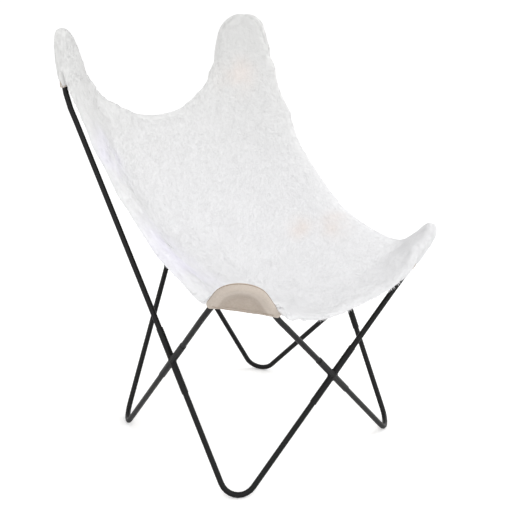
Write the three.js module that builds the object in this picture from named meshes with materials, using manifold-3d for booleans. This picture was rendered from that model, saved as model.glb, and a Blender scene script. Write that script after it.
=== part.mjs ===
// Butterfly sling chair: eight bent steel rods plug into four welded cross sockets, and a hide
// sling hangs over the four horns of the frame in leather corner pockets.
// Millimetres, +Z up. The chair faces -Y and stands on z = 0, with the origin under its middle.

import * as THREE from "three";
import { mergeVertices } from "three/addons/utils/BufferGeometryUtils.js";
import Module from "manifold-3d";

const wasm = await Module();
wasm.setup();

// Rods
const rodDiameter = 12;
const floorBendRadius = 38;
const hornBendRadius = 42;
const kneeRadius = 420;
const restFlatDepth = 0.5;

// Where the straight legs would meet at the floor
const frontFootSpread = 486;
const rearFootSpread = 428;
const footForward = 218;
const footBack = 218;

// Where the straight legs of the horns would meet, the low horn's height being worked out
const tallAimSpread = 606;
const tallAimBack = 382;
const tallAimHeight = 967;
const lowAimSpread = 608;
const lowAimForward = 293;

// How far each horn is set inwards, forwards and upwards from where plain straight legs would put
// it, and how far below the legs' meeting point the knees are that let it
const tallInset = 23;
const tallSetForward = 16;
const tallRise = 16;
const tallKneeDistance = 250;
const lowInset = 9;
const lowSetForward = 5;
const lowRise = 7;
const lowKneeDistance = 190;

// Cross sockets
const socketWall = 0.9;
const socketClearance = 0.3;
const socketArmLength = 72;
const socketStopLength = 20;
const weldThickness = 9;
const weldRadius = 8;

// Corner pockets, with how far each runs down the two legs of its horn
const leatherThickness = 1.6;
const coverEase = 0.6;
const layerGap = 0.3;
const seamGap = 0.6;
const tallPocketSideFlank = 60;
const tallPocketBackFlank = 44;
const lowPocketSideFlank = 33;
const lowPocketFrontFlank = 66;

// Sling layers, and the hide's edge, which turns down over the pockets and is plain between them
const backingThickness = 1.2;
const hideThickness = 3.5;
const seamMargin = 6;
const lipReach = 3.4;
const lipDrop = 10;
const lipFade = 40;
const hemReach = 3;
const hemDrop = 1;

// How far the sling's edge follows each leg before it swings away from it
const sideTallFlank = 62;
const sideLowFlank = 57;
const backFlank = 4;
const frontFlank = 26;
const flankLift = 3;

// Middle of the back and front edges
const backEdgeDepth = 329;
const backEdgeHeight = 681;
const frontEdgeForward = 240;
const frontEdgeHeight = 346;

// Pulls that shape the free edges, as on a spline's handles
const backHornPull = 120;
const backMiddlePull = 105;
const frontHornPull = 50;
const frontHornForward = 49;
const frontHornDrop = 16;
const frontMiddlePull = 35;
const sideTallPull = 390;
const sideTallTuck = 76;
const sideLowTuck = 22;
const sideLowEase = 4;
const sideLowDrop = 16;

// How far the middle of the seat sags below a straight line from the front edge to the back edge
const seatSag = 118;
const seatSetBack = 75;

// How finely the shapes are drawn
const rodSides = 16;
const socketSides = 16;
const pocketSides = 14;
const bendSteps = 9;
const kneeSteps = 3;
const weldArcSteps = 4;
const slingCells = 22;
const flankSteps = 4;
const edgeSamples = 240;
const edgeCrowdingShare = 0.55;
const sideFade = 20;
const settleRounds = 40;

const rodRadius = rodDiameter / 2;
const cutReach = 2 * tallAimHeight;
const socketRadius = rodRadius + socketClearance + socketWall;
const coverRadius = rodRadius + coverEase;
const pocketRadius = coverRadius + leatherThickness;
const seamRadius = hornBendRadius + seamMargin;

const point = (x, y, z) => new THREE.Vector3(x, y, z);
const toward = (a, b) => b.clone().sub(a).normalize();
const along = (origin, direction, length) => origin.clone().addScaledVector(direction, length);
const mirrored = (p) => point(-p.x, p.y, p.z);

// The point where two lines in one plane cross.
function crossing(a, b, c, d) {
  const first = toward(a, b);
  const second = toward(c, d);
  const normal = first.clone().cross(second);
  const reach = c.clone().sub(a).cross(second).dot(normal) / normal.lengthSq();
  return along(a, first, reach);
}

// The round that joins two legs at a corner: its centre, its middle point and its two ends.
function roundAt(corner, before, after, radius) {
  const back = toward(corner, before);
  const ahead = toward(corner, after);
  const half = Math.acos(THREE.MathUtils.clamp(back.dot(ahead), -1, 1)) / 2;
  const inward = back.clone().add(ahead).normalize();
  const centre = along(corner, inward, radius / Math.sin(half));
  return {
    half,
    inward,
    centre,
    across: back.clone().sub(ahead).normalize(),
    middle: along(centre, inward, -radius),
    start: along(corner, back, radius / Math.tan(half)),
    end: along(corner, ahead, radius / Math.tan(half)),
  };
}

// Frame corners on the left, with the floor corners lowered until the bends rest on the floor.
function frameCorners() {
  const tall = point(-tallAimSpread / 2, tallAimBack, tallAimHeight);
  const front = point(-frontFootSpread / 2, -footForward, 0);
  const rear = point(-rearFootSpread / 2, footBack, 0);
  const low = point(-lowAimSpread / 2, -lowAimForward, 0);
  for (let round = 0; round < settleRounds; round += 1) {
    // The side legs cross, so the low horn lies in the plane of the other three corners.
    const plane = new THREE.Plane().setFromCoplanarPoints(front, tall, rear);
    low.z = -(plane.normal.x * low.x + plane.normal.y * low.y + plane.constant) / plane.normal.z;
    const others = [
      [front, tall, mirrored(low)],
      [rear, low, mirrored(tall)],
    ];
    for (const [foot, one, other] of others) {
      const bend = roundAt(foot, one, other, floorBendRadius);
      const lean = Math.hypot(bend.inward.z, bend.across.z);
      const lowest = bend.centre.z - floorBendRadius * lean;
      foot.z += rodRadius - restFlatDepth - lowest;
    }
  }
  return { tall, low, front, rear };
}

const left = frameCorners();
const right = Object.fromEntries(Object.entries(left).map(([name, p]) => [name, mirrored(p)]));
const cross = {
  left: crossing(left.front, left.tall, left.rear, left.low),
  front: crossing(left.front, right.low, right.front, left.low),
  rear: crossing(left.rear, right.tall, right.rear, left.tall),
};
cross.right = mirrored(cross.left);

// A horn's corners: a knee on each leg, and the corner that sets the round bend over by the shift.
function hornCorners(aim, shift, kneeDistance, outerCross, innerCross) {
  const tip = roundAt(aim, outerCross, innerCross, hornBendRadius).middle.add(shift);
  const outer = along(aim, toward(aim, outerCross), kneeDistance);
  const inner = along(aim, toward(aim, innerCross), kneeDistance);
  const corner = aim.clone();
  for (let round = 0; round < settleRounds; round += 1) {
    const bend = roundAt(corner, outer, inner, hornBendRadius);
    corner.add(tip).sub(bend.middle);
  }
  return { outer, corner, inner };
}

// A horn's own directions: out towards its tip, across towards its outer leg, and up to the seat.
function hornFrame(corners, seatSide) {
  const bend = roundAt(corners.corner, corners.outer, corners.inner, hornBendRadius);
  const out = bend.inward.clone().negate();
  const seat = out.clone().cross(bend.across).normalize();
  if (seat.dot(toward(bend.centre, seatSide)) < 0) seat.negate();
  return {
    ...bend,
    out,
    seat,
    outerLeg: toward(bend.start, corners.outer),
    innerLeg: toward(bend.end, corners.inner),
  };
}

// Left side: the tall horn joins the left and rear sockets, the low horn the left and front ones.
const tallShift = point(tallInset, -tallSetForward, tallRise);
const lowShift = point(lowInset, -lowSetForward, lowRise);
const tallCorners = hornCorners(left.tall, tallShift, tallKneeDistance, cross.left, cross.rear);
const lowCorners = hornCorners(left.low, lowShift, lowKneeDistance, cross.left, cross.front);
const seatMiddle = point(0, -frontEdgeForward / 2, backEdgeHeight);
const tallHorn = hornFrame(tallCorners, seatMiddle);
const lowHorn = hornFrame(lowCorners, seatMiddle);

const paint = new THREE.MeshStandardMaterial({ color: 0x1b1b1c, roughness: 0.45, metalness: 0.2 });
const hideWhite = new THREE.MeshStandardMaterial({ color: 0xe9e7e3, roughness: 0.95, metalness: 0 });
const canvas = new THREE.MeshStandardMaterial({ color: 0xcabfb0, roughness: 0.9, metalness: 0 });
const suede = new THREE.MeshStandardMaterial({ color: 0xb8aa9b, roughness: 0.85, metalness: 0 });

const chair = new THREE.Group();
function add(name, geometry, material) {
  const mesh = new THREE.Mesh(geometry, material);
  mesh.name = name;
  chair.add(mesh);
}

// Solids for joining and cutting, and back to geometry.
function solid(geometry) {
  const bare = geometry.clone();
  bare.deleteAttribute("normal");
  bare.deleteAttribute("uv");
  const merged = mergeVertices(bare);
  return new wasm.Manifold(new wasm.Mesh({
    numProp: 3,
    vertProperties: new Float32Array(merged.attributes.position.array),
    triVerts: new Uint32Array(merged.index.array),
  }));
}

function geometryOf(manifold) {
  const mesh = manifold.getMesh();
  const geometry = new THREE.BufferGeometry();
  geometry.setAttribute("position", new THREE.BufferAttribute(mesh.vertProperties, 3));
  geometry.setIndex(new THREE.BufferAttribute(mesh.triVerts, 1));
  return geometry;
}

function mirroredGeometry(geometry) {
  const turned = geometry.clone();
  turned.scale(-1, 1, 1);
  if (!turned.index) turned.setIndex([...Array(turned.attributes.position.count).keys()]);
  const index = turned.index.array;
  for (let i = 0; i < index.length; i += 3) [index[i], index[i + 1]] = [index[i + 1], index[i]];
  return turned;
}

// A bent line of straight runs and round bends, with one tube ring at each station.
class BentLine extends THREE.Curve {
  constructor(start, bends, end) {
    super();
    this.stations = [{ at: start, tangent: toward(start, bends[0].corner) }];
    bends.forEach(({ corner, radius, steps }, i) => {
      const before = i > 0 ? bends[i - 1].corner : start;
      const after = i < bends.length - 1 ? bends[i + 1].corner : end;
      const bend = roundAt(corner, before, after, radius);
      const sweep = Math.PI / 2 - bend.half;
      for (let k = 0; k <= steps; k += 1) {
        const angle = sweep * (1 - 2 * k / steps);
        const spoke = bend.inward.clone().multiplyScalar(-Math.cos(angle));
        spoke.addScaledVector(bend.across, Math.sin(angle));
        const tangent = bend.inward.clone().multiplyScalar(-Math.sin(angle));
        tangent.addScaledVector(bend.across, -Math.cos(angle));
        this.stations.push({ at: along(bend.centre, spoke, radius), tangent });
      }
    });
    this.stations.push({ at: end, tangent: toward(bends.at(-1).corner, end) });
  }

  station(t) {
    return this.stations[Math.round(t * (this.stations.length - 1))];
  }

  getPoint(t, target = new THREE.Vector3()) {
    return target.copy(this.station(t).at);
  }

  getPointAt(t, target) {
    return this.getPoint(t, target);
  }

  getTangentAt(t, target = new THREE.Vector3()) {
    return target.copy(this.station(t).tangent);
  }
}

// A round section whose corners lie on the circle, or whose flats touch it where it is a bore.
function roundSection(radius, sides, isBore = false) {
  const reach = isBore ? radius / Math.cos(Math.PI / sides) : radius;
  const corners = [];
  for (let k = 0; k < sides; k += 1) {
    const angle = 2 * Math.PI * k / sides;
    corners.push(new THREE.Vector2(reach * Math.cos(angle), reach * Math.sin(angle)));
  }
  return new THREE.Shape(corners);
}

function tubeAlong(line, radius, sides) {
  return new THREE.ExtrudeGeometry(roundSection(radius, sides), {
    steps: line.stations.length - 1,
    extrudePath: line,
  });
}

// A straight round bar or bore between two points.
function bar(from, to, radius, sides, isBore = false) {
  const geometry = new THREE.ExtrudeGeometry(roundSection(radius, sides, isBore), {
    depth: from.distanceTo(to),
    bevelEnabled: false,
  });
  geometry.applyQuaternion(new THREE.Quaternion().setFromUnitVectors(point(0, 0, 1), toward(from, to)));
  return geometry.translate(from.x, from.y, from.z);
}

// A block larger than the chair, to cut away all that lies on one side of a plane.
function cuttingBlock() {
  return new THREE.BoxGeometry(cutReach, cutReach, cutReach);
}

// Where a rod's end stands in its socket.
function rodEnd(socket, corner) {
  return along(socket, toward(socket, corner), socketStopLength + layerGap);
}

// Floor rods: a V of rod from one socket to the next, resting on a small flat under its bend.
function floorRod(foot, firstSocket, secondSocket) {
  const line = new BentLine(
    rodEnd(firstSocket, foot),
    [{ corner: foot, radius: floorBendRadius, steps: bendSteps }],
    rodEnd(secondSocket, foot),
  );
  const floor = cuttingBlock().translate(0, 0, -cutReach / 2);
  return geometryOf(solid(tubeAlong(line, rodRadius, rodSides)).subtract(solid(floor)));
}

// Horn rods: up from a socket, through a slight knee, round the horn and down to the next socket.
function hornLine({ outer, corner, inner }, outerSocket, innerSocket) {
  return new BentLine(
    rodEnd(outerSocket, outer),
    [
      { corner: outer, radius: kneeRadius, steps: kneeSteps },
      { corner, radius: hornBendRadius, steps: bendSteps },
      { corner: inner, radius: kneeRadius, steps: kneeSteps },
    ],
    rodEnd(innerSocket, inner),
  );
}

const tallLine = hornLine(tallCorners, cross.left, cross.rear);
const lowLine = hornLine(lowCorners, cross.left, cross.front);

function addPair(name, geometry, material) {
  add(`${name}_left`, geometry, material);
  add(`${name}_right`, mirroredGeometry(geometry), material);
}

addPair("floor_rod_front", floorRod(left.front, cross.left, cross.front), paint);
addPair("floor_rod_rear", floorRod(left.rear, cross.left, cross.rear), paint);
addPair("tall_horn_rod", tubeAlong(tallLine, rodRadius, rodSides), paint);
addPair("low_horn_rod", tubeAlong(lowLine, rodRadius, rodSides), paint);

// The welds between the arms: a flat web with a hollow round in each of the four crotches.
function weldWeb(centre, first, second) {
  const normal = first.clone().cross(second).normalize();
  const side = normal.clone().cross(first);
  const edge = Math.sqrt(socketRadius ** 2 - (weldThickness / 2) ** 2);
  const turn = first.angleTo(second);
  const outline = [];
  [0, turn, Math.PI, Math.PI + turn].forEach((from, k, all) => {
    const to = k < 3 ? all[k + 1] : 2 * Math.PI;
    const half = (to - from) / 2;
    const bisector = from + half;
    const reach = (edge + weldRadius) / Math.sin(half);
    const sweep = Math.PI / 2 - half;
    for (let n = 0; n <= weldArcSteps; n += 1) {
      const angle = bisector + Math.PI + sweep * (1 - 2 * n / weldArcSteps);
      outline.push(new THREE.Vector2(
        reach * Math.cos(bisector) + weldRadius * Math.cos(angle),
        reach * Math.sin(bisector) + weldRadius * Math.sin(angle),
      ));
    }
  });
  const web = new THREE.ExtrudeGeometry(new THREE.Shape(outline), {
    depth: weldThickness,
    bevelEnabled: false,
  });
  web.translate(0, 0, -weldThickness / 2);
  web.applyMatrix4(new THREE.Matrix4().makeBasis(first, side, normal));
  return web.translate(centre.x, centre.y, centre.z);
}

// Cross sockets: two tubes welded in an X, open at their four ends and closed at the middle.
function crossSocket(centre, firstTop, secondTop) {
  const first = toward(centre, firstTop);
  const second = toward(centre, secondTop);
  let body = solid(weldWeb(centre, first, second));
  for (const arm of [first, second]) {
    const ends = [along(centre, arm, -socketArmLength), along(centre, arm, socketArmLength)];
    body = body.add(solid(bar(ends[0], ends[1], socketRadius, socketSides)));
  }
  for (const arm of [first, second]) {
    for (const way of [arm, arm.clone().negate()]) {
      const stop = along(centre, way, socketStopLength);
      const mouth = along(centre, way, socketArmLength + socketWall);
      body = body.subtract(solid(bar(stop, mouth, rodRadius + socketClearance, rodSides, true)));
    }
  }
  return geometryOf(body);
}

addPair("cross_socket_side", crossSocket(cross.left, left.tall, left.low), paint);
add("cross_socket_front", crossSocket(cross.front, right.low, left.low), paint);
add("cross_socket_rear", crossSocket(cross.rear, right.tall, left.tall), paint);

// Corner pockets: leather drawn round the outside of the horn's bend and across behind it,
// open at the mouth where the legs go in, and at the front where the sling is sewn on.
function cornerPocket(horn, line, outerFlank, innerFlank) {
  const level = new THREE.Matrix4().makeBasis(horn.across, horn.seat.clone().cross(horn.across), horn.seat);
  level.setPosition(horn.centre);
  const flatten = level.clone().invert();
  const outline = line.stations.map(({ at }) => at.clone().applyMatrix4(flatten));
  const panel = new THREE.Shape(outline.map(({ x, y }) => new THREE.Vector2(x, y)));
  const slab = (low, high) => {
    const geometry = new THREE.ExtrudeGeometry(panel, { depth: high - low, bevelEnabled: false });
    return solid(geometry.translate(0, 0, low).applyMatrix4(level));
  };
  const cover = coverRadius / Math.cos(Math.PI / pocketSides);
  const outside = solid(tubeAlong(line, pocketRadius, pocketSides))
    .add(slab(-pocketRadius, coverRadius - seamGap));
  const inside = solid(tubeAlong(line, cover, pocketSides)).add(slab(-coverRadius, pocketRadius));
  const front = cuttingBlock().translate(0, 0, coverRadius - seamGap + cutReach / 2);
  front.applyMatrix4(level);
  const outerMouth = along(horn.start, horn.outerLeg, outerFlank);
  const innerMouth = along(horn.end, horn.innerLeg, innerFlank);
  const lip = toward(outerMouth, innerMouth);
  const inward = lip.clone().cross(horn.seat);
  if (inward.dot(horn.out) < 0) inward.negate();
  const below = cuttingBlock().translate(0, -cutReach / 2, 0);
  below.applyMatrix4(new THREE.Matrix4().makeBasis(inward.clone().cross(horn.seat), inward, horn.seat));
  below.translate(outerMouth.x, outerMouth.y, outerMouth.z);
  return geometryOf(outside.subtract(inside).subtract(solid(front)).subtract(solid(below)));
}

const tallPocket = cornerPocket(tallHorn, tallLine, tallPocketSideFlank, tallPocketBackFlank);
const lowPocket = cornerPocket(lowHorn, lowLine, lowPocketSideFlank, lowPocketFrontFlank);
addPair("pocket_tall", tallPocket, suede);
addPair("pocket_low", lowPocket, suede);

// The sling's seam round a horn, from the tip to the end of the flank beside one leg. A point's
// curl, from 0 to 1, says how far the hide's edge turns down over the pocket there.
function hornEdge(horn, side, flankLength) {
  const leg = side > 0 ? horn.outerLeg : horn.innerLeg;
  const base = along(horn.centre, horn.seat, coverRadius);
  const sweep = Math.PI / 2 - horn.half;
  const edge = [];
  const place = (p, remaining) => {
    edge.push(Object.assign(p, { curl: THREE.MathUtils.smoothstep(remaining, 0, lipFade) }));
  };
  for (let k = 0; k <= bendSteps; k += 1) {
    const angle = sweep * k / bendSteps;
    const spoke = horn.out.clone().multiplyScalar(Math.cos(angle));
    spoke.addScaledVector(horn.across, side * Math.sin(angle));
    place(along(base, spoke, seamRadius), seamRadius * (sweep - angle) + flankLength);
  }
  const turn = edge.at(-1);
  for (let k = 1; k <= flankSteps; k += 1) {
    const done = flankLength * k / flankSteps;
    const lifted = along(turn, horn.seat, flankLift * k / flankSteps);
    place(along(lifted, leg, done), flankLength - done);
  }
  return { edge, leg };
}

// How far along a border its points lie, as shares of its length, closer together at the horns.
const borderShares = Array.from({ length: slingCells + 1 }, (_, k) => {
  const t = k / slingCells;
  return t - edgeCrowdingShare * Math.sin(2 * Math.PI * t) / (2 * Math.PI);
});

// A border of the sling: a chain of points moved to those shares of its length.
function respaced(chain) {
  const lengths = [0];
  for (let i = 1; i < chain.length; i += 1) {
    lengths.push(lengths[i - 1] + chain[i].distanceTo(chain[i - 1]));
  }
  return borderShares.map((share) => {
    const want = lengths.at(-1) * share;
    let i = 1;
    while (i < chain.length - 1 && lengths[i] < want) i += 1;
    const part = (want - lengths[i - 1]) / (lengths[i] - lengths[i - 1]);
    const p = chain[i - 1].clone().lerp(chain[i], part);
    p.curl = THREE.MathUtils.lerp(chain[i - 1].curl ?? 0, chain[i].curl ?? 0, part);
    return p;
  });
}

function freeEdge(from, fromPull, to, toPull) {
  const curve = new THREE.CubicBezierCurve3(from, from.clone().add(fromPull), to.clone().add(toPull), to);
  return curve.getPoints(edgeSamples).slice(1, -1);
}

// The left side edge, from the low horn's tip to the tall horn's.
function sideBorder() {
  const tall = hornEdge(tallHorn, 1, sideTallFlank);
  const low = hornEdge(lowHorn, 1, sideLowFlank);
  const tallPull = tall.leg.clone().multiplyScalar(sideTallPull).add(point(sideTallTuck, 0, 0));
  const lowPull = point(sideLowTuck, sideLowEase, -sideLowDrop);
  const free = freeEdge(low.edge.at(-1), lowPull, tall.edge.at(-1), tallPull);
  return respaced([...low.edge, ...free, ...tall.edge.reverse()]);
}

// The front or back edge, from the left horn's tip across the middle to the right one's.
function crossBorder(horn, flankLength, hornPull, middle, middlePull) {
  const { edge, leg } = hornEdge(horn, -1, flankLength);
  const pull = leg.clone().multiplyScalar(hornPull.length).add(hornPull.swing);
  const half = [...edge, ...freeEdge(edge.at(-1), pull, middle, point(-middlePull, 0, 0))];
  const otherHalf = half.map((p) => Object.assign(mirrored(p), { curl: p.curl })).reverse();
  return respaced([...half, middle, ...otherHalf]);
}

const sideEdge = sideBorder();
const backEdge = crossBorder(
  tallHorn, backFlank,
  { length: backHornPull, swing: point(0, 0, 0) },
  point(0, backEdgeDepth, backEdgeHeight), backMiddlePull,
);
const frontEdge = crossBorder(
  lowHorn, frontFlank,
  { length: frontHornPull, swing: point(0, -frontHornForward, -frontHornDrop) },
  point(0, -frontEdgeForward, frontEdgeHeight), frontMiddlePull,
);

// The sling's under face: straight rulings from the front edge to the back edge, drawn down beside
// each side edge as that edge is, and down the middle by the seat's own sag.
function slingPoint(i, j) {
  const u = borderShares[i];
  const v = borderShares[j];
  const sideSag = sideEdge[j].clone();
  sideSag.addScaledVector(sideEdge[0], v - 1).addScaledVector(sideEdge[slingCells], -v);
  const nearLeft = (1 - u ** 2) ** sideFade;
  const nearRight = (1 - (1 - u) ** 2) ** sideFade;
  const middle = (1 - nearLeft - nearRight) * Math.sin(Math.PI * v);
  const p = frontEdge[i].clone().multiplyScalar(1 - v).addScaledVector(backEdge[i], v);
  p.addScaledVector(sideSag, nearLeft).addScaledVector(mirrored(sideSag), nearRight);
  return p.addScaledVector(point(0, seatSetBack, -seatSag), middle);
}

// The sling's rim, once round from the left low horn along the front edge.
function rimLoop() {
  const loop = [];
  const pass = (column, line, { curl }) => loop.push({ index: line * (slingCells + 1) + column, curl });
  for (let i = 0; i < slingCells; i += 1) pass(i, 0, frontEdge[i]);
  for (let j = 0; j < slingCells; j += 1) pass(slingCells, j, sideEdge[j]);
  for (let i = slingCells; i > 0; i -= 1) pass(i, slingCells, backEdge[i]);
  for (let j = slingCells; j > 0; j -= 1) pass(0, j, sideEdge[j]);
  return loop;
}

// A closed sheet that follows the sling from one distance above its under face to another. Each lip
// ring carries its edge further out and down, by shares of the reach and the drop.
function slingSheet(low, high, lipRingShares) {
  const row = slingCells + 1;
  const faces = [];
  const quad = (a, b, c, d) => faces.push(a, b, c, a, c, d);
  const points = [];
  for (let j = 0; j < row; j += 1) {
    for (let i = 0; i < row; i += 1) points.push(slingPoint(i, j));
  }
  for (let j = 0; j < slingCells; j += 1) {
    for (let i = 0; i < slingCells; i += 1) {
      const a = j * row + i;
      const cell = [a, a + 1, a + row + 1, a + row];
      if ((i < slingCells / 2) === (j < slingCells / 2)) quad(...cell);
      else quad(cell[1], cell[2], cell[3], cell[0]);
    }
  }
  const normalsOf = () => {
    const surface = new THREE.BufferGeometry().setFromPoints(points);
    surface.setIndex([...faces]);
    surface.computeVertexNormals();
    return points.map((_, k) => new THREE.Vector3().fromBufferAttribute(surface.attributes.normal, k));
  };
  const flat = normalsOf();
  const rim = rimLoop();
  let loop = rim.map(({ index }) => index);
  for (const [reachShare, dropShare] of lipRingShares) {
    const start = points.length;
    rim.forEach(({ index, curl }, k) => {
      const ahead = points[rim[(k + 1) % rim.length].index];
      const behind = points[rim.at(k - 1).index];
      const outward = toward(behind, ahead).cross(flat[index]).normalize();
      const reach = reachShare * THREE.MathUtils.lerp(hemReach, lipReach, curl);
      const drop = dropShare * THREE.MathUtils.lerp(hemDrop, lipDrop, curl);
      points.push(along(along(points[index], outward, reach), flat[index], -drop));
    });
    const ring = rim.map((_, k) => start + k);
    loop.forEach((a, k) => {
      const next = (k + 1) % loop.length;
      quad(a, ring[k], ring[next], loop[next]);
    });
    loop = ring;
  }
  const normals = normalsOf();
  const count = points.length;
  const position = [];
  for (const height of [high, low]) {
    points.forEach((p, k) => position.push(...along(p, normals[k], height).toArray()));
  }
  const index = [...faces];
  for (let k = 0; k < faces.length; k += 3) {
    index.push(faces[k] + count, faces[k + 2] + count, faces[k + 1] + count);
  }
  loop.forEach((a, k) => {
    const b = loop[(k + 1) % loop.length];
    index.push(a, a + count, b + count, a, b + count, b);
  });
  const sheet = new THREE.BufferGeometry();
  sheet.setAttribute("position", new THREE.Float32BufferAttribute(position, 3));
  sheet.setIndex(index);
  return sheet;
}

const hideSeat = backingThickness + layerGap;
const lipRingShares = [[0.75, 0.15], [1, 1]];
add("sling_backing", slingSheet(0, backingThickness, []), canvas);
add("sling_hide", slingSheet(hideSeat, hideSeat + hideThickness, lipRingShares), hideWhite);

// The origin is on the floor, under the middle of the chair's overall box.
const whole = new THREE.Box3().setFromObject(chair, true);
chair.position.y = -(whole.min.y + whole.max.y) / 2;

export default chair;
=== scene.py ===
import math

import bpy
import numpy as np
from mathutils import Matrix, Vector, kdtree, noise


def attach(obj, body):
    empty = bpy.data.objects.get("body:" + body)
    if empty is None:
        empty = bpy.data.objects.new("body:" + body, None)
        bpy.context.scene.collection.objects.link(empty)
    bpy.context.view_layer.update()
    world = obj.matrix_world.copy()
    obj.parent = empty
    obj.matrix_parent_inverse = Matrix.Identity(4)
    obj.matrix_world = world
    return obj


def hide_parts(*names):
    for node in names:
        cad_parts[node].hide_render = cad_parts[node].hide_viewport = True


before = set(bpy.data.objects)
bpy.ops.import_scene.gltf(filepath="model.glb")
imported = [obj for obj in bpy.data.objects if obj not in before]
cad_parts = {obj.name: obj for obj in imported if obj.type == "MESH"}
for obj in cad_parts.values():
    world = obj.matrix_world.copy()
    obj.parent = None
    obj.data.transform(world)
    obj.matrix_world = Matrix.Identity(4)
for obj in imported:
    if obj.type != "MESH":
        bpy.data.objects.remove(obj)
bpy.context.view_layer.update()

# Bent rods
# Eight lengths of 12 mm round mild steel bar, four bent to stand on the floor and four bent to
# carry a horn of the sling. They are powder coated satin black before the chair is put together.
BAR_MERGE = 0.00002
BAR_CREASE = math.radians(35)
COAT_BLACK = "0a0a0b"
COAT_GREY = "111112"
COAT_ROUGHNESS = 0.42
COAT_ROUGH_RANGE = (0.36, 0.48)
COAT_IOR = 1.5
COAT_SPECULAR = 0.22
ORANGE_PEEL = 0.0016
ORANGE_PEEL_RISE = 0.00004
DUST_PATCH = 0.05

# The sling's pull leans the horns. Each pair says from where to where a lean comes in: by height,
# by the distance behind or ahead of the chair's middle, or by the distance aside of it.
TALL_LEAN = 0.0115
TALL_LEAN_FROM = (0.66, 0.77)
TALL_BEHIND = (0.05, 0.12)
TIP_RETURN = 0.5
TIP_FROM = (0.82, 0.89)
LOW_LEAN = 0.004
LOW_DROP = 0.002
LOW_LEAN_FROM = (0.34, 0.44)
LOW_AHEAD = (0.12, 0.20)
LOW_ASIDE = (0.08, 0.18)


def colour(code):
    """An sRGB hex value as linear light, with its alpha."""
    shares = [int(code[at:at + 2], 16) / 255 for at in (0, 2, 4)]
    return [s / 12.92 if s <= 0.04045 else ((s + 0.055) / 1.055) ** 2.4 for s in shares] + [1]


def add_node(owner, kind, inputs, **settings):
    """A new node. Each input takes a plain value, or the output of another node."""
    node = owner.node_tree.nodes.new(kind)
    for name, value in settings.items():
        setattr(node, name, value)
    for name, value in inputs.items():
        if isinstance(value, bpy.types.NodeSocket):
            owner.node_tree.links.new(value, node.inputs[name])
        else:
            node.inputs[name].default_value = value
    return node


def start_material(name, roughness, **inputs):
    """A material with its shader, and the object's own coordinates in metres."""
    material = bpy.data.materials.new(name)
    material.use_nodes = True
    shader = material.node_tree.nodes["Principled BSDF"]
    shader.inputs["Roughness"].default_value = roughness
    for key, value in inputs.items():
        shader.inputs[key.replace("_", " ")].default_value = value
    place = add_node(material, "ShaderNodeTexCoord", {}).outputs["Object"]
    return material, shader, place


def tint(material, share, low, high):
    """A colour between two others, each given as a hex value or as another node's output."""
    low, high = (colour(side) if isinstance(side, str) else side for side in (low, high))
    return add_node(material, "ShaderNodeMix", {0: share, 6: low, 7: high}, data_type="RGBA").outputs[2]


def link_shader(material, shader, **links):
    """Links the patterns to the shader's own sockets."""
    for name, socket in links.items():
        material.node_tree.links.new(socket, shader.inputs[name.replace("_", " ")])


# Powder coat: an even satin black skin, baked on, with the fine orange peel that it sets with.
coat, shader, place = start_material(
    "powder_coat_black", COAT_ROUGHNESS, IOR=COAT_IOR, Specular_IOR_Level=COAT_SPECULAR
)
patches = add_node(coat, "ShaderNodeTexNoise", {"Vector": place, "Scale": 1 / DUST_PATCH, "Detail": 3})
peel = add_node(coat, "ShaderNodeTexNoise", {"Vector": place, "Scale": 1 / ORANGE_PEEL, "Detail": 1})
rough = add_node(
    coat, "ShaderNodeMapRange",
    {"Value": patches.outputs["Fac"], "To Min": COAT_ROUGH_RANGE[0], "To Max": COAT_ROUGH_RANGE[1]},
)
bump = add_node(
    coat, "ShaderNodeBump",
    {"Height": peel.outputs["Fac"], "Distance": ORANGE_PEEL_RISE, "Strength": 1},
)
link_shader(
    coat, shader,
    Base_Color=tint(coat, patches.outputs["Fac"], COAT_BLACK, COAT_GREY),
    Roughness=rough.outputs["Result"],
    Normal=bump.outputs["Normal"],
)


def merged_copy(node, name):
    """A copy of a CAD node, with its loose triangles joined where they meet."""
    bpy.ops.object.select_all(action="DESELECT")
    piece = bpy.data.objects.new(name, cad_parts[node].data.copy())
    bpy.context.collection.objects.link(piece)
    piece.select_set(True)
    bpy.context.view_layer.objects.active = piece
    piece.data.materials.clear()
    bpy.ops.mesh.customdata_custom_splitnormals_clear()
    bpy.ops.object.mode_set(mode="EDIT")
    bpy.ops.mesh.select_all(action="SELECT")
    bpy.ops.mesh.remove_doubles(threshold=BAR_MERGE)
    bpy.ops.object.mode_set(mode="OBJECT")
    return piece


def fit(piece, material, slot, *nodes):
    """Gives a finished piece its material and its place on the chair."""
    piece.data.materials.clear()
    piece.data.materials.append(material)
    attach(piece, "root")
    if nodes:
        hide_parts(*nodes)


def smooth_step(value, low, high):
    """0 up to the low value, 1 from the high one, and an even rise between."""
    share = min(max((value - low) / (high - low), 0), 1)
    return share * share * (3 - 2 * share)


def settle(piece):
    """Leans the horns as the sling's pull leaves them: the tall ones back, the low ones outwards."""
    for vertex in piece.data.vertices:
        place = vertex.co
        tall = smooth_step(place.z, *TALL_LEAN_FROM) * smooth_step(place.y, *TALL_BEHIND)
        tall *= 1 - TIP_RETURN * smooth_step(place.z, *TIP_FROM)
        low = smooth_step(place.z, *LOW_LEAN_FROM) * smooth_step(-place.y, *LOW_AHEAD)
        low *= smooth_step(abs(place.x), *LOW_ASIDE)
        vertex.co = place + Vector((
            math.copysign(LOW_LEAN, place.x) * low, TALL_LEAN * tall, -LOW_DROP * low
        ))


for side in ("left", "right"):
    for bar in ("floor_rod_front", "floor_rod_rear", "tall_horn_rod", "low_horn_rod"):
        rod = merged_copy(f"{bar}_{side}", f"bent_{bar}_{side}")
        if "horn" in bar:
            settle(rod)
        bpy.ops.object.shade_smooth_by_angle(angle=BAR_CREASE)
        fit(rod, coat, "frame_coat", f"{bar}_{side}")

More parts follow.
